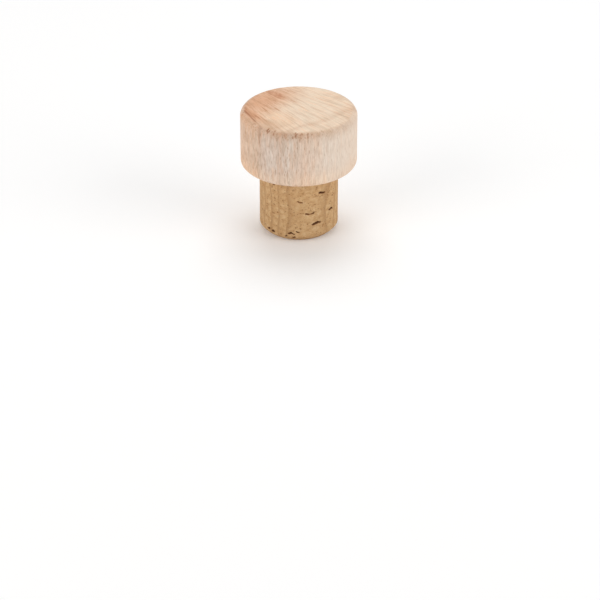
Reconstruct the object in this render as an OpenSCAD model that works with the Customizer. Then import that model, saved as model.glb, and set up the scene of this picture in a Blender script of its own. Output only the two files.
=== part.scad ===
// Wine stopper: a turned beech cap with a cork plug glued into its underside.
// Lengths are in millimetres. The origin is the centre of the plug's foot, and +Z points up through the cap.

/* [Wooden cap] */
// Diameter of the cap
cap_diameter = 28; // [26:0.5:40]
// Height of the cap
cap_height = 14; // [12:0.5:25]
// Radius of the rounded upper edge
upper_edge_radius = 1.6; // [0.4:0.1:3]
// Radius of the rounded lower edge
lower_edge_radius = 1.2; // [0.4:0.1:1.5]

/* [Cork plug] */
// Diameter of the plug, a little over the bore that it seals
plug_diameter = 19; // [17:0.5:21]
// Length of the plug below the cap
plug_reach = 17; // [12:0.5:30]
// Bevel round the foot, which leads the plug into its bore
foot_bevel = 1.5; // [0.5:0.1:3]

/* [Glued joint] */
// Depth of the socket in the cap's underside
socket_depth = 5; // [3:0.5:8]
// Bevel round the socket's mouth, through which the plug narrows to its glued end
mouth_bevel = 0.5; // [0.2:0.1:1]
// Gap left for the glue all round the plug
glue_gap = 0.1; // [0.05:0.05:0.3]

/* [Hidden] */
// How far a cut runs past the face that it opens
cut_overrun = 1;
cap_radius = cap_diameter / 2;
plug_radius = plug_diameter / 2;
plug_length = plug_reach + socket_depth;
glued_end_radius = plug_radius - mouth_bevel;
// Height of the seat, the flat ring under the cap that lands on the lip of the bore
seat_height = plug_reach;
beech = "#e2c4a6";
cork = "#c69a6b";
$fn = 128;

// Half section of the cap's outside, standing on the seat, with both edges rounded
module cap_section() {
    upper_edge_height = cap_height - upper_edge_radius;
    translate([0, lower_edge_radius])
        square([cap_radius, upper_edge_height - lower_edge_radius]);
    square([cap_radius - lower_edge_radius, upper_edge_height]);
    square([cap_radius - upper_edge_radius, cap_height]);
    translate([cap_radius - upper_edge_radius, upper_edge_height])
        circle(upper_edge_radius);
    translate([cap_radius - lower_edge_radius, lower_edge_radius])
        circle(lower_edge_radius);
}

// Half section of the socket, up from the seat, with the glue gap round the plug
module socket_section() {
    polygon([
        [0, -cut_overrun],
        [plug_radius + glue_gap, -cut_overrun],
        [plug_radius + glue_gap, 0],
        [glued_end_radius + glue_gap, mouth_bevel],
        [glued_end_radius + glue_gap, socket_depth],
        [0, socket_depth]
    ]);
}

// Half section of the plug, standing on its foot and narrowing at the seat to its glued end
module plug_section() {
    polygon([
        [0, 0],
        [plug_radius - foot_bevel, 0],
        [plug_radius, foot_bevel],
        [plug_radius, plug_reach],
        [glued_end_radius, plug_reach + mouth_bevel],
        [glued_end_radius, plug_length],
        [0, plug_length]
    ]);
}

// Turned cap with a flat-bottomed socket bored up into its underside
module wood_cap() {
    color(beech)
        translate([0, 0, seat_height])
            difference() {
                rotate_extrude() cap_section();
                rotate_extrude() socket_section();
            }
}

// Straight cork whose glued end stands against the floor of the socket
module cork_plug() {
    color(cork)
        rotate_extrude() plug_section();
}

wood_cap();
cork_plug();
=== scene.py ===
import math
import bpy
import numpy as np
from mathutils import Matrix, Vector


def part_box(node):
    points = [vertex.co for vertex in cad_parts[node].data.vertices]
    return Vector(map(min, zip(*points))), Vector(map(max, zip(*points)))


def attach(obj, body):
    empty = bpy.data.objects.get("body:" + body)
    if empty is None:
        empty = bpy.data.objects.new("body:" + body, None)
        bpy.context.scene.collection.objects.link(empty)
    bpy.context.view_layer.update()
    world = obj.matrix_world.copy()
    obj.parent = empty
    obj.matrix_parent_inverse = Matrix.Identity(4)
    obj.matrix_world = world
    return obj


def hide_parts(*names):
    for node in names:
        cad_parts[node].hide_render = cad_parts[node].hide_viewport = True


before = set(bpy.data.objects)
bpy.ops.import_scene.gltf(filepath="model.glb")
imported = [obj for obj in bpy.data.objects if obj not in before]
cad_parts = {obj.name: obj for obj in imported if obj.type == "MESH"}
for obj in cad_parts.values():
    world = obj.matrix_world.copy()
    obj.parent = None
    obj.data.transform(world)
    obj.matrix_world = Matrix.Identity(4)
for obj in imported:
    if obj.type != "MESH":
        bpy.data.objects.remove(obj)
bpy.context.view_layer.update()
mm = 0.001                 # metres in a millimetre: the dictionaries below are in millimetres
pickTolerance = 0.01 * mm  # for faces and edges that are picked by their place
smoothAngle = 40           # degrees: a sharper turn than this stays an edge
print("frame loaded")


# tools for working on a mesh

def clearSelection():
    if bpy.context.object and bpy.context.object.mode != "OBJECT":
        bpy.ops.object.mode_set(mode="OBJECT")
    bpy.ops.object.select_all(action="DESELECT")


def pick(piece, kind, accept):
    # leaves edit mode on, with what the test accepts selected: the test gets the corner points
    bpy.ops.object.mode_set(mode="EDIT")
    bpy.ops.mesh.select_mode(type=kind)
    bpy.ops.mesh.select_all(action="DESELECT")
    bpy.ops.object.mode_set(mode="OBJECT")
    mesh = piece.data
    for item in mesh.edges if kind == "EDGE" else mesh.polygons:
        item.select = accept([mesh.vertices[i].co for i in item.vertices])
    bpy.ops.object.mode_set(mode="EDIT")


def near(value, wanted):
    return abs(value - wanted) < pickTolerance


def flatAt(height):
    return lambda corners: all(near(c.z, height) for c in corners)


def uprightAt(radius):
    def accept(corners):
        onWall = all(near(math.hypot(c.x, c.y), radius) for c in corners)
        return onWall and abs(corners[0].z - corners[-1].z) > 10 * pickTolerance
    return accept


def addCylinder(name, sides, radius, bottom, top):
    clearSelection()
    bpy.ops.mesh.primitive_cylinder_add(
        vertices=sides, radius=radius, depth=top - bottom, location=(0, 0, (bottom + top) / 2))
    piece = bpy.context.object
    piece.name = name
    bpy.ops.object.transform_apply(location=True, rotation=True, scale=True)
    return piece


def raiseFace(rise, scale, height):
    # pulls the selected face up by rise and narrows it about the axis
    bpy.ops.mesh.extrude_region_move(TRANSFORM_OT_translate={"value": (0, 0, rise)})
    bpy.ops.transform.resize(value=(scale, scale, 1), center_override=(0, 0, height + rise))


def gridFace(piece, height, sides):
    # a flat round face becomes an even grid that can take relief, with a quarter of the rim to a side
    pick(piece, "FACE", flatAt(height))
    bpy.ops.mesh.delete(type="ONLY_FACE")
    pick(piece, "EDGE", flatAt(height))
    bpy.ops.mesh.fill_grid(span=sides // 4, use_interp_simple=True)


def finishMesh():
    # for the piece that is in edit mode
    bpy.ops.mesh.select_all(action="SELECT")
    bpy.ops.mesh.normals_make_consistent(inside=False)
    bpy.ops.object.mode_set(mode="OBJECT")
    bpy.ops.object.shade_smooth_by_angle(angle=math.radians(smoothAngle))


def displace(piece, name, depth, midLevel, texture=None, guide=None, group=""):
    mod = piece.modifiers.new(name, "DISPLACE")
    mod.strength = depth * mm
    mod.mid_level = midLevel
    mod.vertex_group = group
    if texture:
        mod.texture = texture
        mod.texture_coords = "OBJECT"
        mod.texture_coords_object = guide
    bpy.context.view_layer.objects.active = piece
    bpy.ops.object.modifier_apply(modifier=name)


def roughen(piece, reliefs):
    # cloud relief, always inwards: depth, size along x, y and z, degrees that it is turned about the axis
    for name, (depth, size, turn) in reliefs.items():
        clearSelection()
        bpy.ops.object.empty_add(rotation=(0, 0, math.radians(turn)))
        guide = bpy.context.object
        guide.scale = Vector(size) * mm
        bpy.context.view_layer.update()
        clouds = bpy.data.textures.new(name, "CLOUDS")
        clouds.noise_scale = 1
        clouds.noise_depth = 2
        piece.select_set(True)
        displace(piece, name, depth, 1, clouds, guide)
        bpy.data.objects.remove(guide)


def sink(piece, name, weights, depth):
    # pushes the surface in by weight, and keeps the weight for the material to read
    leastWeight = 0.01
    group = piece.vertex_groups.new(name=name)
    for index in np.flatnonzero(weights > leastWeight):
        group.add([int(index)], float(weights[index]), "REPLACE")
    displace(piece, name, -depth, 0, group=name)
    piece.vertex_groups.clear()
    kept = piece.data.attributes.new(name, "FLOAT", "POINT")
    kept.data.foreach_set("value", weights.astype(np.float32))


def pointsOf(piece):
    flat = np.empty(len(piece.data.vertices) * 3)
    piece.data.vertices.foreach_get("co", flat)
    return flat.reshape(-1, 3) / mm


def handOver(piece, node, material):
    piece.data.materials.clear()
    piece.data.materials.append(material)
    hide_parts(node)
    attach(piece, "root")


# tools for materials

class Wire:
    # an output socket that adds Math nodes when it is used in an expression
    def __init__(self, graph, socket):
        self.graph = graph
        self.socket = socket

    def of(self, name):
        # another output of the same node
        return Wire(self.graph, self.socket.node.outputs[name])

    def math(self, operation, *values):
        return self.graph.add("ShaderNodeMath", {"operation": operation}, dict(enumerate(values)))

    def most(self, other):
        return self.math("MAXIMUM", self, other)

    def least(self, other):
        return self.math("MINIMUM", self, other)

    def __abs__(self):
        return self.math("ABSOLUTE", self)

    def __add__(self, other):
        return self.math("ADD", self, other)

    def __sub__(self, other):
        return self.math("SUBTRACT", self, other)

    def __rsub__(self, other):
        return self.math("SUBTRACT", other, self)

    def __mul__(self, other):
        return self.math("MULTIPLY", self, other)

    def __truediv__(self, other):
        return self.math("DIVIDE", self, other)

    def __pow__(self, other):
        return self.math("POWER", self, other)

    __radd__ = __add__
    __rmul__ = __mul__


class Graph:
    # the nodes of a material or a world
    def __init__(self, owner):
        owner.use_nodes = True
        self.owner = owner
        self.tree = owner.node_tree
        self.tree.nodes.clear()

    def add(self, kind, settings=None, sockets=None, out=0):
        # settings come first, because some of them change the sockets
        node = self.tree.nodes.new(kind)
        for name, value in (settings or {}).items():
            if name == "stops":
                self.setStops(node.color_ramp.elements, value)
            else:
                setattr(node, name, value)
        for name, value in (sockets or {}).items():
            if isinstance(value, Wire):
                self.tree.links.new(value.socket, node.inputs[name])
            else:
                node.inputs[name].default_value = value
        return Wire(self, node.outputs[out]) if node.outputs else None

    def setStops(self, elements, stops):
        while len(elements) < len(stops):
            elements.new(1)
        for element, (place, colour) in zip(elements, stops):
            element.position = place
            element.color = colour

    def place(self):
        # Object coordinates in millimetres, as three values
        spot = self.add("ShaderNodeTexCoord", out="Object")
        scaled = self.add("ShaderNodeVectorMath", {"operation": "SCALE"}, {0: spot, "Scale": 1 / mm})
        split = self.add("ShaderNodeSeparateXYZ", None, {0: scaled})
        return split.of("X"), split.of("Y"), split.of("Z")

    def mark(self, name):
        # the weight that sink left on the mesh
        return self.add("ShaderNodeAttribute", {"attribute_name": name}, out="Fac")

    def noise(self, x, y, z, detail, roughness):
        spot = self.add("ShaderNodeCombineXYZ", None, {0: x, 1: y, 2: z})
        return self.add("ShaderNodeTexNoise", None, {
            "Vector": spot, "Scale": 1.0, "Detail": detail, "Roughness": roughness})

    def grain(self, spot, plan, up, detail, roughness):
        # noise of one size in plan and another up the axis
        x, y, z = spot
        return self.noise(x / plan, y / plan, z / up, detail, roughness)

    def dots(self, spot, plan, up):
        # distance from the nearest of many scattered points
        x, y, z = spot
        scaled = self.add("ShaderNodeCombineXYZ", None, {0: x / plan, 1: y / plan, 2: z / up})
        return self.add("ShaderNodeTexVoronoi", None, {"Vector": scaled, "Scale": 1.0})

    def ramp(self, value, low, high, start=0.0, end=1.0):
        # eased step from start to end while value goes from low to high
        return self.add("ShaderNodeMapRange", {"interpolation_type": "SMOOTHSTEP"}, {
            0: value, 1: low, 2: high, 3: start, 4: end})

    def tones(self, value, stops):
        return self.add("ShaderNodeValToRGB", {"stops": stops}, {0: value})

    def blend(self, factor, first, second, mode="MIX"):
        return self.add("ShaderNodeMix", {"data_type": "RGBA", "blend_type": mode},
                        {0: factor, 6: first, 7: second}, out=2)

    def seen(self):
        # 1 for what the camera sees, also by way of gloss or glass, and 0 for light that falls on things
        rays = self.add("ShaderNodeLightPath")
        return rays.of("Is Camera Ray").most(rays.of("Is Glossy Ray")).most(rays.of("Is Transmission Ray"))

    def finish(self, colour, roughness, height, bumpDistance, specular):
        bump = self.add("ShaderNodeBump", None, {
            "Strength": 1.0, "Distance": bumpDistance * mm, "Height": height})
        shader = self.add("ShaderNodeBsdfPrincipled", None, {
            "Base Color": colour, "Roughness": roughness, "Normal": bump, "Specular IOR Level": specular})
        self.add("ShaderNodeOutputMaterial", None, {"Surface": shader})
        return self.owner


def tone(code):
    # a screen colour written as six hex digits, made linear for a shader
    parts = [int(code[i:i + 2], 16) / 255 for i in (0, 2, 4)]
    return tuple(c / 12.92 if c < 0.04045 else ((c + 0.055) / 1.055) ** 2.4 for c in parts) + (1,)


# camera, set so that the cap falls where the photograph has it

shot = {
    "imageSize": 600,            # pixels
    "capPixel": (298.8, 161.7),  # centre of the cap's underside
    "elevation": 26.76,          # degrees, of the ray to that point
    "distance": 600,
    "focalPixels": 2494,
    "sensor": 36,
    "clipStart": 1,
}


def addCamera():
    target = Vector((0, 0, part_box("wood_cap")[0].z))
    half = shot["imageSize"] / 2
    right = (shot["capPixel"][0] - half) / shot["focalPixels"]
    above = (half - shot["capPixel"][1]) / shot["focalPixels"]
    rayTilt = math.radians(shot["elevation"])
    axisTilt = rayTilt + math.atan(above)
    reach = shot["distance"] * mm
    data = bpy.data.cameras.new("camera")
    data.sensor_width = shot["sensor"]
    data.lens = shot["sensor"] * shot["focalPixels"] / shot["imageSize"]
    data.clip_start = shot["clipStart"] * mm
    camera = bpy.data.objects.new("camera", data)
    camera.location = target + reach * Vector((-right, -math.cos(rayTilt), math.sin(rayTilt)))
    camera.rotation_euler = (math.pi / 2 - axisTilt, 0, 0)
    bpy.context.scene.collection.objects.link(camera)
    bpy.context.scene.camera = camera


addCamera()
print("camera set")


# beech cap

capSettings = {
    "shape": {
        "sides": 640,
        "upperEdge": 1.6,    # radius of the rounding
        "upperSteps": 12,
        "lowerEdge": 1.2,
        "lowerSteps": 8,
        "edgeProfile": 0.5,  # round
        "wallRows": 64,
        "mouthRadius": 9.6,  # socket in the underside
        "mouthBevel": 0.5,
        "socketDepth": 5,
    },
    # depth, size along x, y and z, turn in plan
    "relief": {
        "wander": (0.05, (7, 7, 9), 0),
        "fibre": (0.02, (0.35, 0.35, 7), 0),
        "rays": (0.022, (9, 0.55, 3), -50),
    },
    # torn grain: two numbers are the range that a random draw takes
    "torn": {
        "seed": 7,
        "depth": 0.12,
        "rimDepth": 4,       # how far in from the wall it is found
        "seatMargin": 0.05,  # and how far above the seat
        # nicks in the upper edge: degrees round it from the front, strength
        "nicks": ((-33, 1.2), (-24, 0.6), (-14, 0.4), (-5, 1), (1, 0.7), (11, 0.8), (24, 0.5), (35, 0.4)),
        "moreNicks": 22,     # round the sides and the back
        "moreArc": (50, 310),
        "moreStrength": (0.2, 0.6),
        "bites": 5,          # that make up a nick
        "biteScatter": (-2.5, 2.5),
        "biteRun": (0.15, 0.7),      # share of the way down the rounded edge
        "biteStrength": (0.45, 1),   # share of the nick's strength
        "biteHalfWidth": (0.18, 0.36),
        "biteHalfLength": (0.3, 0.8),
        # flecks on the front of the wall: angle, height, half length
        "frontFlecks": ((-42, 28.6, 1.69), (-21.5, 29.2, 0.91), (-12, 23, 0.91), (-1.5, 27.4, 0.65),
                        (1, 29.4, 0.78), (9, 29.3, 1.04), (15, 26.7, 1.43), (19, 28.2, 1.04),
                        (5, 22.2, 0.52), (-39, 21, 1.43), (-23, 21, 1.43), (-14, 20.3, 0.78)),
        "frontHalfWidth": 0.16,
        "frontWeight": 0.65,
        "flecks": 130,       # all round
        "fleckHalfWidth": (0.1, 0.15),
        "fleckHalfLength": (0.6, 1.6),
        "fleckWeight": (0.1, 0.35),
        "split": (-12.9, -0.5, -10.6, -5.2),  # along a ray of the top, from x, y to x, y
        "splitHalfWidth": 0.3,
        "splitWeight": 0.75,
    },
    "wood": {
        "pith": (-32, 38),       # plan position of the tree's heart, off to the back left
        "ringSway": 2.5,
        "fanSway": 0.4,          # degrees
        "degree": 0.873,         # width of a degree of the fan round the pith, at the cap's middle
        "zoneEnds": (-70, -30),  # degrees round the pith that the zones are spread over
        "zones": ((0.0, tone("e3c8b1")), (0.12, tone("e2c7b1")), (0.15, tone("e3d2c5")),
                  (0.26, tone("e3d2c4")), (0.31, tone("e7d0be")), (0.38, tone("e9d5c4")),
                  (0.44, tone("ebdbcc")), (0.8, tone("edd9c6"))),
        "darkRing": 58,          # distance from the pith
        "seam": -64,             # degrees round the pith of a dark ray at the cap's left
        "seamWaver": 0.3,
        "ringBands": (1.8, 18, 30, 3, 0.6),  # size across the rings, along them and up, detail, roughness
        "fleckDots": (0.5, 2.2),             # size in plan and up
        "fleckWaver": 0.35,
        "fringeWaver": 1.4,
        "roughness": 0.6,
        "fibreRoughness": 0.12,
        "rayRoughness": 0.1,
        "bumpDistance": 0.03,
        "specular": 0.28,
    },
    # noise along the trunk: size in plan and up, detail, roughness
    "grain": {
        "sway": (6, 20, 2, 0.5),
        "mottle": (0.8, 4, 3, 0.6),
        "hue": (0.8, 5, 3, 0.6),
        "fibres": (0.22, 2.8, 4, 0.75),
        "dashes": (0.2, 2.6, 1.5, 0.5),
        "vessels": (0.1, 1.8, 1, 0.5),
        "blotches": (1.6, 3, 2, 0.5),
        "fringe": (0.35, 8, 2, 0.5),
        "crumbs": (0.14, 0.3, 2, 0.5),
    },
    # noise along the rays: size across them, along them and up, detail, roughness
    "rayGrain": {
        "tongues": (0.6, 4, 14, 4, 0.65),
        "broad": (0.7, 7, 2.4, 2.5, 0.5),
        "thin": (0.12, 4, 2, 1.5, 0.5),
    },
    # patches of the top: x, y, half length, half width, turn in plan
    "patches": {
        "red": ((-9, 4.5, 10, 5.4, 45), (-11.4, -2, 5, 2, -64)),
        "deep": ((-5.2, 8.2, 4.2, 1.7, -48), (-5.2, -0.1, 1.4, 0.25, -50),
                 (-1.2, 4.4, 1.7, 0.25, -47), (-12.9, 0.4, 1.6, 0.6, -64)),
        "shady": ((-8, -8.2, 6, 2.8, -40),),
        "warm": ((-6, -5, 7, 4.5, -50),),
        "coarse": ((11.6, -2.6, 4.5, 2.6, -42),),  # where the rays show most
    },
    # how far the tongues pull a patch's edge, the reach where it starts and ends to fade, its share
    "patchEdges": {
        "red": (1.6, 0.25, 1.6, 1),
        "deep": (1.4, 0.3, 1.3, 1),
        "shady": (0.8, 0.4, 1.3, 1),
        "warm": (1, 0.4, 1.3, 0.65),
        "coarse": (0, 0.3, 1.2, 0.5),
    },
    # from one value to another, and the shares there
    "fades": {
        # by the way over the upper edge
        "top": (0.1, 1.3, 1, 0),
        # the band over the upper edge, partly rubbed wear and partly painted shade
        "edgeStart": (-0.5, 1.3, 0, 1),
        "edgeEnd": (1.2, 5, 1, 0),
        "seamBend": (0.3, 2.5, 0, 0.8),
        # by degrees round the pith
        "calm": (-60, -49, 1, 0.4),
        # the right side, where the seat gets painted shade instead of painted bounce light
        "shadedSide": (-54, -49.5, 0, 1),
        "warmEdge": (-62.5, -59.5, 0.8, 0),
        "edgeLeft": (-66, -61, 0.3, 1),
        "edgeRight": (-52, -42, 1, 0.4),
        "seamWidth": (0.05, 0.35, 1, 0),
        # by the distance from the pith, or from the dark ring
        "darkRing": (0, 1.3, 0.7, 0),
        "seamTop": (48, 51, 0.7, 0.3),
        "seamWall": (47, 51, 0, 0.36),
        "seamStart": (42, 44, 0.2, 1),
        # by the height above the seat
        # near the seat, where the painted bounce light and the painted shade lie
        "foot": (0.3, 5.5, 1, 0),
        "seamFoot": (3, 13, 0, 1),
        # by x and by y
        # where a painted sheen lies round the far left of the wall
        "sheenLeft": (-13.3, -11.2, 1, 0),
        "edgeBack": (0, 8, 1, 0.6),
        # by the level of a noise or of the torn grain
        "deepTongues": (0.06, -0.12, 0, 0.5),
        "mottle": (0.38, 0.6, 0.5, 1),
        "bands": (0.46, 0.68, 0, 0.35),
        "broadRays": (0.42, 0.68, 0, 0.75),
        "thinRays": (0.48, 0.62, 0, 0.4),
        "greyHue": (0.5, 0.35, 0, 1),
        "peachHue": (0.5, 0.68, 0, 1),
        "fibres": (0.47, 0.64, 0, 1),
        "dashes": (0.6, 0.78, 0, 1),
        "flecks": (0.13, 0.22, 1, 0),
        "vessels": (0.53, 0.64, 0, 0.55),
        "blotches": (0.35, 0.6, 0.45, 0.85),
        "crumbs": (0, 0.15, 0, 0.7),
        "torn": (0.05, 0.9, 0, 0.85),
    },
    # how much of each shows
    "shares": {
        "evenTop": 0.8,     # of one tone over the whole end grain
        "wallStain": 0.12,  # of the top's stains
        "topRays": 0.65,
        "wallRays": 0.45,
        "topHue": 0.8,
        "wallHue": 0.75,
        "topFibres": 0.4,
        "dashes": 0.7,
        "flecks": 0.25,
        "calmFlecks": 0.4,
        # of the peach tint, as painted shade on the seat's right side
        "rightFootShade": 0.7,
    },
    # heights in the bump
    "bump": {"fibres": 0.5, "vessels": 0.3, "rays": 0.3, "dashes": 0.6, "flecks": 0.4},
    # tints that multiply the wood's own tone; some stand for light instead: painted bounce light near the
    # seat, painted shade at the seat's right, a painted sheen round the far left and, in part, painted
    # shade on the rubbed edge
    "tints": {
        "endGrain": (1.06, 1.05, 1.01, 1),
        "fleck": (0.7, 0.56, 0.46, 1),
        "red": (0.86, 0.64, 0.52, 1),
        "deep": (0.78, 0.61, 0.52, 1),
        "ring": (0.9, 0.83, 0.78, 1),
        "ray": (0.77, 0.67, 0.58, 1),
        "grey": (0.95, 0.98, 0.98, 1),
        "peach": (1.03, 0.93, 0.84, 1),
        "fibre": (0.8, 0.74, 0.69, 1),
        "dash": (0.7, 0.57, 0.48, 1),
        # partly rubbed wear and partly painted shade on the upper edge
        "rubAndShade": (0.77, 0.64, 0.53, 1),
        "shady": (0.86, 0.77, 0.71, 1),
        # painted warm bounce light near the seat
        "bounceLight": (1.11, 1.05, 0.97, 1),
        # painted sheen round the far left of the wall
        "paintedSheen": (1.1, 1.1, 1.1, 1),
        "seam": (0.52, 0.33, 0.22, 1),
        "torn": (0.52, 0.33, 0.21, 1),
    },
}


def shapeCap():
    low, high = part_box("wood_cap")
    radius = (high.x - low.x) / 2
    s = capSettings["shape"]
    cap = addCylinder("beechCap", s["sides"], radius, low.z, high.z)
    for height, edge, steps in ((high.z, "upperEdge", "upperSteps"), (low.z, "lowerEdge", "lowerSteps")):
        pick(cap, "EDGE", flatAt(height))
        bpy.ops.mesh.bevel(
            offset=s[edge] * mm, segments=s[steps], profile=s["edgeProfile"], affect="EDGES")
    # socket: a ring is left round it as the seat
    mouth = s["mouthRadius"] * mm
    bevel = s["mouthBevel"] * mm
    pick(cap, "FACE", flatAt(low.z))
    bpy.ops.mesh.inset(thickness=radius - s["lowerEdge"] * mm - mouth)
    raiseFace(bevel, (mouth - bevel) / mouth, low.z)
    raiseFace(s["socketDepth"] * mm - bevel, 1, low.z + bevel)
    gridFace(cap, high.z, s["sides"])
    pick(cap, "EDGE", uprightAt(radius))
    bpy.ops.mesh.subdivide(number_cuts=s["wallRows"] - 1)
    finishMesh()
    return cap


# a spot of torn grain is its angle, its run down the profile from the rim of the flat top, half width,
# half length and weight

def nickSpots(draw, edgeRun):
    t = capSettings["torn"]
    angles = draw.uniform(*t["moreArc"], t["moreNicks"])
    nicks = list(t["nicks"]) + [(angle, draw.uniform(*t["moreStrength"])) for angle in angles]
    spots = []
    for nick, strength in nicks:
        for bite in range(t["bites"]):
            angle = nick + draw.uniform(*t["biteScatter"])
            run = draw.uniform(*t["biteRun"]) * edgeRun
            weight = strength * draw.uniform(*t["biteStrength"])
            halfWidth = draw.uniform(*t["biteHalfWidth"])
            halfLength = draw.uniform(*t["biteHalfLength"])
            spots.append((angle, run, halfWidth, halfLength, weight))
    return spots


def fleckSpots(draw, edgeRun, wallRun, wallTop):
    t = capSettings["torn"]
    spots = []
    for angle, height, halfLength in t["frontFlecks"]:
        spots.append((angle, edgeRun + wallTop - height, t["frontHalfWidth"], halfLength, t["frontWeight"]))
    for angle in draw.uniform(0, 360, t["flecks"]):
        run = edgeRun + draw.uniform(0, 1) * wallRun
        halfWidth = draw.uniform(*t["fleckHalfWidth"])
        halfLength = draw.uniform(*t["fleckHalfLength"])
        spots.append((angle, run, halfWidth, halfLength, draw.uniform(*t["fleckWeight"])))
    return spots


def splitWeights(x, y):
    # widest and deepest where it starts, closing along the ray
    t = capSettings["torn"]
    x0, y0, x1, y1 = t["split"]
    length = math.hypot(x1 - x0, y1 - y0)
    along = np.clip(((x - x0) * (x1 - x0) + (y - y0) * (y1 - y0)) / length ** 2, 0, 1)
    away = np.hypot(x - x0 - along * (x1 - x0), y - y0 - along * (y1 - y0))
    halfWidth = t["splitHalfWidth"] * (1.05 - along ** 3)
    return t["splitWeight"] * np.clip(1 - (away / halfWidth) ** 2, 0, 1) * (1 - along ** 5)


def tornWeights(cap):
    t = capSettings["torn"]
    draw = np.random.default_rng(t["seed"])
    x, y, z = pointsOf(cap).T
    low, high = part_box("wood_cap")
    radius = high.x / mm
    edge = capSettings["shape"]["upperEdge"]
    wallTop = high.z / mm - edge
    across = np.hypot(x, y)
    angle = np.degrees(np.arctan2(x, -y))
    edgeRun = edge * math.pi / 2
    wallRun = (high.z - low.z) / mm - edge
    lean = np.arctan2(np.maximum(across - radius + edge, 0), np.maximum(z - wallTop, 0))
    run = edge * lean + np.minimum(across - radius + edge, 0) + np.maximum(wallTop - z, 0)
    outside = (across > radius - t["rimDepth"]) & (z > low.z / mm + t["seatMargin"])
    weights = splitWeights(x, y) * (z > wallTop)
    spots = nickSpots(draw, edgeRun) + fleckSpots(draw, edgeRun, wallRun, wallTop)
    for spotAngle, spotRun, halfWidth, halfLength, weight in spots:
        turn = np.radians((angle - spotAngle + 180) % 360 - 180) * radius
        bite = 1 - (turn / halfWidth) ** 2 - ((run - spotRun) / halfLength) ** 2
        weights = np.maximum(weights, weight * np.clip(bite, 0, 1) * outside)
    return weights


def grainCap(cap):
    roughen(cap, capSettings["relief"])
    sink(cap, "tornGrain", tornWeights(cap), capSettings["torn"]["depth"])


class CapSpot:
    # where a point lies on the cap and in the tree: the steps of the beech share these values
    def __init__(self, g):
        wood = capSettings["wood"]
        low, high = [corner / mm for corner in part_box("wood_cap")]
        self.g = g
        self.x, self.y, self.z = g.place()
        self.aboveSeat = self.z - low.z
        dx = self.x - wood["pith"][0]
        dy = self.y - wood["pith"][1]
        sway = self.grain("sway") - 0.5
        self.rings = (dx * dx + dy * dy) ** 0.5 + sway * wood["ringSway"]
        self.turn = dy.math("ARCTAN2", dy, dx) * math.degrees(1)
        self.fan = self.turn + sway * wood["fanSway"]
        self.across = self.fan * wood["degree"]
        # way over the upper edge: the flat top ends at zero and the wall begins at twice the edge's radius
        fromAxis = (self.x * self.x + self.y * self.y) ** 0.5
        self.over = fromAxis - high.x + high.z - self.z + capSettings["shape"]["upperEdge"]
        self.onTop = self.fade("top", self.over)
        self.onWall = 1 - self.onTop
        self.calm = self.fade("calm", self.fan)  # the right of the cap is plainer
        self.tongues = self.rayGrain("tongues") - 0.5

    def fade(self, name, value):
        return self.g.ramp(value, *capSettings["fades"][name])

    def grain(self, name):
        return self.g.grain((self.x, self.y, self.z), *capSettings["grain"][name])

    def rayGrain(self, name):
        across, along, up, detail, roughness = capSettings["rayGrain"][name]
        return self.g.noise(self.across / across, self.rings / along, self.z / up, detail, roughness)

    def reach(self, patch):
        # distance from a patch's middle, where 1 is its edge
        midX, midY, halfLength, halfWidth, turn = patch
        c = math.cos(math.radians(turn))
        s = math.sin(math.radians(turn))
        along = (self.x - midX) * (c / halfLength) + (self.y - midY) * (s / halfLength)
        aside = (self.y - midY) * (c / halfWidth) - (self.x - midX) * (s / halfWidth)
        return (along * along + aside * aside) ** 0.5

    def patch(self, name):
        pull, start, end, share = capSettings["patchEdges"][name]
        first, *others = capSettings["patches"][name]
        reach = self.reach(first)
        for other in others:
            reach = reach.least(self.reach(other))
        return self.g.ramp(reach + self.tongues * pull, start, end, share, 0)

    def tint(self, share, colour, name):
        return self.g.blend(share, colour, capSettings["tints"][name], "MULTIPLY")


# steps of the beech: each takes the colour so far and gives it back with its own marks, and leaves on the
# spot what a later step or the bump reads

def woodTone(at):
    # zones round the pith, which the end grain shows less
    wood = capSettings["wood"]
    low, high = wood["zoneEnds"]
    lastTone = wood["zones"][-1][1]
    colour = at.g.tones((at.fan - low) / (high - low), wood["zones"])
    colour = at.g.blend(at.onTop * capSettings["shares"]["evenTop"], colour, lastTone)
    return at.tint(at.onTop, colour, "endGrain")


def stainTop(at, colour):
    # red heartwood near the pith, with tongues along the rays, then a shady patch and a warm one
    onWall = capSettings["shares"]["wallStain"]
    stain = onWall + at.onTop * (1 - onWall)
    red = at.patch("red") * stain
    colour = at.tint(red, colour, "red")
    deep = (at.fade("deepTongues", at.tongues) * red).most(at.patch("deep") * stain)
    colour = at.tint(deep * at.fade("mottle", at.grain("mottle")), colour, "deep")
    colour = at.tint(at.patch("shady") * at.onTop, colour, "shady")
    return at.tint(at.patch("warm") * at.onTop, colour, "peach")


def drawRings(at, colour):
    wood = capSettings["wood"]
    across, along, up, detail, roughness = wood["ringBands"]
    bands = at.g.noise(at.rings / across, at.across / along, at.z / up, detail, roughness)
    darkRing = at.fade("darkRing", abs(at.rings - wood["darkRing"]))
    return at.tint(at.fade("bands", bands) + darkRing, colour, "ring")


def drawRays(at, colour):
    # lines on the end grain and short streaks on the wall
    shares = capSettings["shares"]
    at.broad = at.rayGrain("broad")
    at.rays = at.fade("broadRays", at.broad) + at.fade("thinRays", at.rayGrain("thin"))
    coarse = at.patch("coarse") * at.onTop
    show = at.onTop * shares["topRays"] + coarse + at.onWall * at.calm * shares["wallRays"]
    colour = at.tint(at.rays * show, colour, "ray")
    return at.tint(coarse, colour, "ring")


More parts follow.
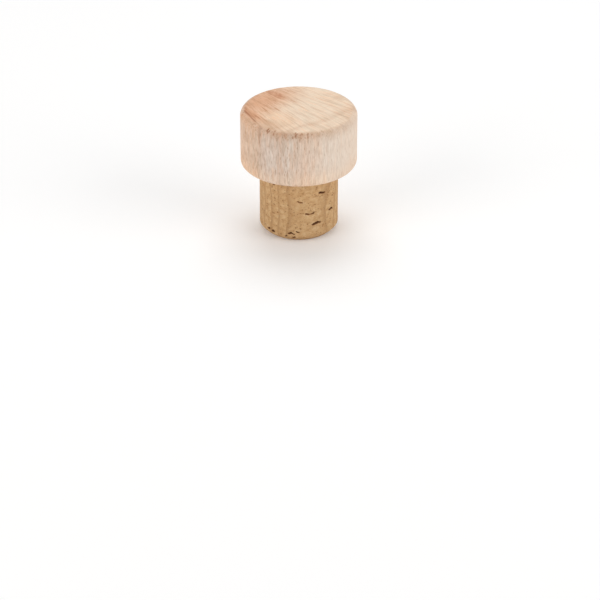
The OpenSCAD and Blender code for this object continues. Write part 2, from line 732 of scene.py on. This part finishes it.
def drawSeam(at, colour):
    wood = capSettings["wood"]
    waver = (at.broad - 0.5) * wood["seamWaver"]
    away = abs(at.turn - wood["seam"] + at.fade("seamBend", at.over) + waver)
    show = (at.onTop * at.fade("seamTop", at.rings)).most(at.fade("seamWall", at.rings))
    ends = at.fade("seamStart", at.rings) * at.fade("seamFoot", at.aboveSeat)
    return at.tint(at.fade("seamWidth", away) * show * ends, colour, "seam")


def varyHue(at, colour):
    shares = capSettings["shares"]
    hue = at.grain("hue") * at.onWall + (at.tongues + 0.5) * at.onTop
    show = (at.calm * shares["wallHue"]).most(at.onTop * shares["topHue"])
    colour = at.tint(at.fade("greyHue", hue) * show, colour, "grey")
    return at.tint(at.fade("peachHue", hue) * show, colour, "peach")


def drawFibres(at, colour):
    # the wall's fibres, dark dashes, flecks and fine vessels
    wood = capSettings["wood"]
    shares = capSettings["shares"]
    at.fibres = at.grain("fibres")
    at.fibreMask = at.fade("fibres", at.fibres) * at.calm
    colour = at.tint(at.fibreMask * (1 - at.onTop * (1 - shares["topFibres"])), colour, "fibre")
    at.dashMask = at.fade("dashes", at.grain("dashes")) * at.onWall * at.calm
    colour = at.tint(at.dashMask * shares["dashes"], colour, "dash")
    flecks = at.g.dots((at.x, at.y, at.z), *wood["fleckDots"]) + (at.fibres - 0.5) * wood["fleckWaver"]
    at.fleckMask = at.fade("flecks", flecks) * at.onWall
    colour = at.tint(at.fleckMask * (shares["flecks"] + at.calm * shares["calmFlecks"]), colour, "fleck")
    at.vessels = at.grain("vessels")
    return at.tint(at.fade("vessels", at.vessels), colour, "fibre")


def shadeWall(at, colour):
    # painted light and shade on the wall: painted warm bounce light near the seat, more so on the left,
    # painted shade that makes the seat darker and yellower on the right, and a painted sheen that makes the
    # far left paler
    foot = at.fade("foot", at.aboveSeat)
    plain = at.fade("shadedSide", at.fan)
    colour = at.tint(foot * (1 - plain), colour, "bounceLight")
    colour = at.tint(foot * plain * capSettings["shares"]["rightFootShade"], colour, "peach")
    return at.tint(at.fade("sheenLeft", at.x) * at.onWall, colour, "paintedSheen")


def rubAndShadeEdge(at, colour):
    # the upper edge is darker and browner, partly rubbed wear and partly painted shade over the rounding
    # and just under it, with a ragged fringe down the wall, fuller at the front than at the back
    fringe = (at.grain("fringe") - 0.5) * capSettings["wood"]["fringeWaver"]
    band = at.fade("edgeStart", at.over) * at.fade("edgeEnd", at.over + fringe)
    colour = at.tint(band * at.fade("warmEdge", at.fan), colour, "peach")
    rubAndShade = band * at.fade("blotches", at.grain("blotches")) * at.fade("edgeBack", at.y)
    rubAndShade = rubAndShade * at.fade("edgeLeft", at.fan) * at.fade("edgeRight", at.fan)
    return at.tint(rubAndShade, colour, "rubAndShade")


def darkenTorn(at, colour):
    torn = at.g.mark("tornGrain")
    crumbs = (at.grain("crumbs") - 0.5) * at.fade("crumbs", torn)
    return at.tint(at.fade("torn", torn + crumbs), colour, "torn")


def beechMaterial():
    g = Graph(bpy.data.materials.new("beech"))
    wood = capSettings["wood"]
    bump = capSettings["bump"]
    at = CapSpot(g)
    colour = woodTone(at)
    for step in (stainTop, drawRings, drawRays, drawSeam, varyHue,
                 drawFibres, shadeWall, rubAndShadeEdge, darkenTorn):
        colour = step(at, colour)
    raised = at.fibres * bump["fibres"] + at.vessels * bump["vessels"]
    height = raised - at.rays * bump["rays"] - at.dashMask * bump["dashes"] - at.fleckMask * bump["flecks"]
    roughness = wood["roughness"] + at.fibreMask * wood["fibreRoughness"] + at.rays * wood["rayRoughness"]
    return g.finish(colour, roughness, height, wood["bumpDistance"], wood["specular"])


cap = shapeCap()
grainCap(cap)
handOver(cap, "wood_cap", beechMaterial())
print("cap turned", len(cap.data.polygons), "faces")


# cork plug

plugSettings = {
    "shape": {
        "sides": 480,
        "reach": 17,         # from the foot up to the seat
        "footBevel": 1.5,
        "footSteps": 8,
        "footProfile": 0.3,  # 0.25 is flat and 0.5 is round
        "wallRows": 84,
        "gluedRadius": 9,
        "gluedBevel": 0.5,
    },
    # depth, size along x, y and z, turn in plan
    "relief": {
        "wander": (0.06, (3, 3, 3), 0),
        "cells": (0.035, (0.3, 0.3, 0.3), 0),
    },
    # pits of the bark channels: two numbers are the range that a random draw takes
    "pits": {
        "seed": 3,
        "count": 120,
        "turn": 18,            # degrees in plan that the channels run off x
        "depth": 0.45,
        "under": (0, 0.3),     # from the wall in to a pit's middle
        "footShare": 0.2,      # of the pits, that lie in the foot
        "footRadius": (1, 8),
        "leastSize": 0.18,
        "moreSize": 0.75,
        "length": (1.1, 2.8),  # this and the next two are times the size
        "height": (0.26, 0.5),
        "width": 0.7,
        "waves": ((0.15, 1.9), (0.06, 5.3)),  # rise, and radians in a millimetre along the channel
        "crumbs": 0.35,
        "crumbRates": (4.7, 7, 3.1),          # radians in a millimetre along, up and across
        "leastWeight": 0.55,   # of a pit of no size: one of size 1 has its full weight
        "seatMargin": 0.1,
    },
    "look": {
        "tones": ((0.34, tone("bb9163")), (0.5, tone("cca577")), (0.66, tone("d8b78c"))),
        "light": tone("d8b78c"),
        "growth": tone("9a6c41"),
        "pore": tone("7d4f2c"),
        "pit": tone("55341d"),
        "growthGap": 2.1,      # between the yearly layers
        "growthBend": 2,       # in gaps
        # noise: size in plan and up, detail, roughness
        "patches": (1.3, 1.0, 5, 0.7),
        "bend": (8, 12, 2, 0.5),
        "cells": (0.16, 0.16, 3, 0.7),
        "poreDots": (0.75, 0.5),
        "cellPores": 0.5,      # how far cells and patches change the size of a pore
        "patchPores": 0.8,
        "roughness": 0.74,
        "cellRoughness": 0.2,
        "patchBump": 0.6,      # height of the patches beside that of the cells
        "bumpDistance": 0.07,
        "specular": 0.2,
    },
    # from one level to another, and the shares there
    "fades": {
        "growthRise": (0.55, 0.94, 0, 1),  # in the course of a year
        "growthFall": (0.94, 0.99, 1, 0),
        "growthPatches": (0.4, 0.6, 0.2, 0.6),
        "darkCells": (0.5, 0.72, 0, 0.5),
        "lightCells": (0.46, 0.3, 0, 0.4),
        "pores": (0.06, 0.24, 0.8, 0),
        "poreBump": (0.05, 0.25, 0, 0.5),
        "crumbs": (0, 0.1, 0, 0.6),
        "pitRims": (0.03, 0.2, 0, 0.85),
        "pits": (0.2, 0.6, 0, 1),
    },
}


def shapePlug():
    low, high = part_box("cork_plug")
    s = plugSettings["shape"]
    radius = high.x
    seat = s["reach"] * mm
    bevel = s["gluedBevel"] * mm
    plug = addCylinder("corkPlug", s["sides"], radius, low.z, seat)
    pick(plug, "FACE", flatAt(seat))
    raiseFace(bevel, s["gluedRadius"] * mm / radius, seat)
    raiseFace(high.z - seat - bevel, 1, seat + bevel)
    pick(plug, "EDGE", flatAt(low.z))
    bpy.ops.mesh.bevel(
        offset=s["footBevel"] * mm, segments=s["footSteps"], profile=s["footProfile"], affect="EDGES")
    gridFace(plug, low.z, s["sides"])
    pick(plug, "EDGE", uprightAt(radius))
    bpy.ops.mesh.subdivide(number_cuts=s["wallRows"] - 1)
    finishMesh()
    return plug


def pitWeights(plug):
    # bark channels run straight through the cork: slits where they skim the wall, dots where they end on it
    s = plugSettings["shape"]
    p = plugSettings["pits"]
    draw = np.random.default_rng(p["seed"])
    x, y, z = pointsOf(plug).T
    turn = math.radians(p["turn"])
    along = x * math.cos(turn) + y * math.sin(turn)
    aside = y * math.cos(turn) - x * math.sin(turn)
    alongRate, upRate, asideRate = p["crumbRates"]
    angles = draw.uniform(0, 2 * math.pi, p["count"])
    heights = draw.uniform(0, s["reach"], p["count"])
    weights = np.zeros(len(x))
    for angle, height in zip(angles, heights):
        radius = s["gluedRadius"] + s["gluedBevel"] - draw.uniform(*p["under"])
        if draw.uniform() < p["footShare"]:
            radius = draw.uniform(*p["footRadius"])
            height = 0
        size = p["leastSize"] + p["moreSize"] * draw.uniform() ** 3
        length = size * draw.uniform(*p["length"])
        depth = size * draw.uniform(*p["height"])
        phase = draw.uniform(0, 2 * math.pi, 4)
        level = z - height
        for (rise, rate), start in zip(p["waves"], phase):
            level = level + rise * np.sin(along * rate + start)
        crumbs = np.sin(level * upRate + aside * asideRate + phase[3])
        crumbs = np.sin(along * alongRate + phase[2]) * crumbs
        bite = (1 - ((along - radius * math.cos(angle)) / length) ** 2
                - ((aside - radius * math.sin(angle)) / (p["width"] * size)) ** 2 - (level / depth) ** 2)
        weight = p["leastWeight"] + (1 - p["leastWeight"]) * size
        weights = np.maximum(weights, np.clip(bite + crumbs * p["crumbs"] * (bite > 0), 0, 1) * weight)
    return weights * (z < s["reach"] - p["seatMargin"])


def grainPlug(plug):
    roughen(plug, plugSettings["relief"])
    sink(plug, "barkPits", pitWeights(plug), plugSettings["pits"]["depth"])


def drawGrowth(g, spot, patches, colour):
    # yearly layers: each darkens to a thin line
    look = plugSettings["look"]
    fades = plugSettings["fades"]
    x, y, z = spot
    slope = math.tan(math.radians(plugSettings["pits"]["turn"]))
    bend = g.grain(spot, *look["bend"]) - 0.5
    layer = (y - x * slope) / look["growthGap"] + bend * look["growthBend"]
    season = layer.math("FRACT", layer)
    line = g.ramp(season, *fades["growthRise"]) * g.ramp(season, *fades["growthFall"])
    return g.blend(line * g.ramp(patches, *fades["growthPatches"]), colour, look["growth"])


def corkMaterial():
    g = Graph(bpy.data.materials.new("cork"))
    look = plugSettings["look"]
    fades = plugSettings["fades"]
    spot = g.place()
    patches = g.grain(spot, *look["patches"])
    colour = g.tones(patches, look["tones"])
    colour = drawGrowth(g, spot, patches, colour)
    # cell walls, pores and the dust that fills the channels
    cells = g.grain(spot, *look["cells"])
    colour = g.blend(g.ramp(cells, *fades["darkCells"]), colour, look["growth"])
    colour = g.blend(g.ramp(cells, *fades["lightCells"]), colour, look["light"])
    pores = g.dots(spot, *look["poreDots"])
    pores = pores + (cells - 0.5) * look["cellPores"] + (patches - 0.5) * look["patchPores"]
    colour = g.blend(g.ramp(pores, *fades["pores"]), colour, look["pore"])
    pits = g.mark("barkPits")
    pits = pits + (cells - 0.5) * g.ramp(pits, *fades["crumbs"])
    colour = g.blend(g.ramp(pits, *fades["pitRims"]), colour, look["pore"])
    colour = g.blend(g.ramp(pits, *fades["pits"]), colour, look["pit"])
    height = cells + patches * look["patchBump"] + g.ramp(pores, *fades["poreBump"])
    roughness = look["roughness"] + cells * look["cellRoughness"]
    return g.finish(colour, roughness, height, look["bumpDistance"], look["specular"])


plug = shapePlug()
grainPlug(plug)
handOver(plug, "cork_plug", corkMaterial())
print("plug cut", len(plug.data.polygons), "faces")


# studio

studio = {
    "floorSize": 6000,
    "floorShade": (0.95, 0.95, 0.95, 1),
    "floorLift": 0.08,       # shown to the camera alone, so that the floor is white
    "floorFade": (90, 420),  # distances between which the floor runs out into plain white
    "worldShade": (1, 1, 1, 1),
    "worldFill": 0.43,
    # name: place, size, watts, colour
    "boxes": {
        "rightBox": ((520, -260, 260), 420, 1.4, (1, 0.99, 0.97)),
        "leftBox": ((-480, -360, 240), 420, 1.4, (1, 0.98, 0.96)),
        "topBox": ((0, 260, 620), 480, 1.8, (1, 1, 1)),
    },
}


def addFloor():
    clearSelection()
    bpy.ops.mesh.primitive_plane_add(size=studio["floorSize"] * mm)
    floor = bpy.context.object
    floor.name = "floor"
    g = Graph(bpy.data.materials.new("floorWhite"))
    x, y, z = g.place()
    far = g.ramp((x * x + y * y) ** 0.5, *studio["floorFade"])
    plain = g.add("ShaderNodeBsdfDiffuse", None, {"Color": studio["floorShade"]})
    lift = g.add("ShaderNodeEmission", None, {"Strength": studio["floorLift"]})
    white = g.add("ShaderNodeEmission", None, {"Strength": 1.0})
    lifted = g.add("ShaderNodeAddShader", None, {0: plain, 1: lift})
    shown = g.add("ShaderNodeMixShader", None, {0: far, 1: lifted, 2: white})
    shader = g.add("ShaderNodeMixShader", None, {0: g.seen(), 1: plain, 2: shown})
    g.add("ShaderNodeOutputMaterial", None, {"Surface": shader})
    floor.data.materials.append(g.owner)


def addWorld():
    g = Graph(bpy.data.worlds.new("studio"))
    shade = studio["worldShade"]
    fill = g.add("ShaderNodeBackground", None, {"Color": shade, "Strength": studio["worldFill"]})
    backdrop = g.add("ShaderNodeBackground", None, {"Color": shade, "Strength": 1.0})
    shader = g.add("ShaderNodeMixShader", None, {0: g.seen(), 1: fill, 2: backdrop})
    g.add("ShaderNodeOutputWorld", None, {"Surface": shader})
    bpy.context.scene.world = g.owner


def addBoxes():
    middle = Vector((0, 0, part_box("wood_cap")[0].z))
    for name, (spot, size, watts, colour) in studio["boxes"].items():
        data = bpy.data.lights.new(name, "AREA")
        data.shape = "SQUARE"
        data.size = size * mm
        data.energy = watts
        data.color = colour
        box = bpy.data.objects.new(name, data)
        box.location = Vector(spot) * mm
        box.rotation_euler = (middle - box.location).to_track_quat("-Z", "Y").to_euler()
        bpy.context.scene.collection.objects.link(box)


addFloor()
addWorld()
addBoxes()
bpy.context.scene.view_settings.view_transform = "Standard"
print("studio lit")
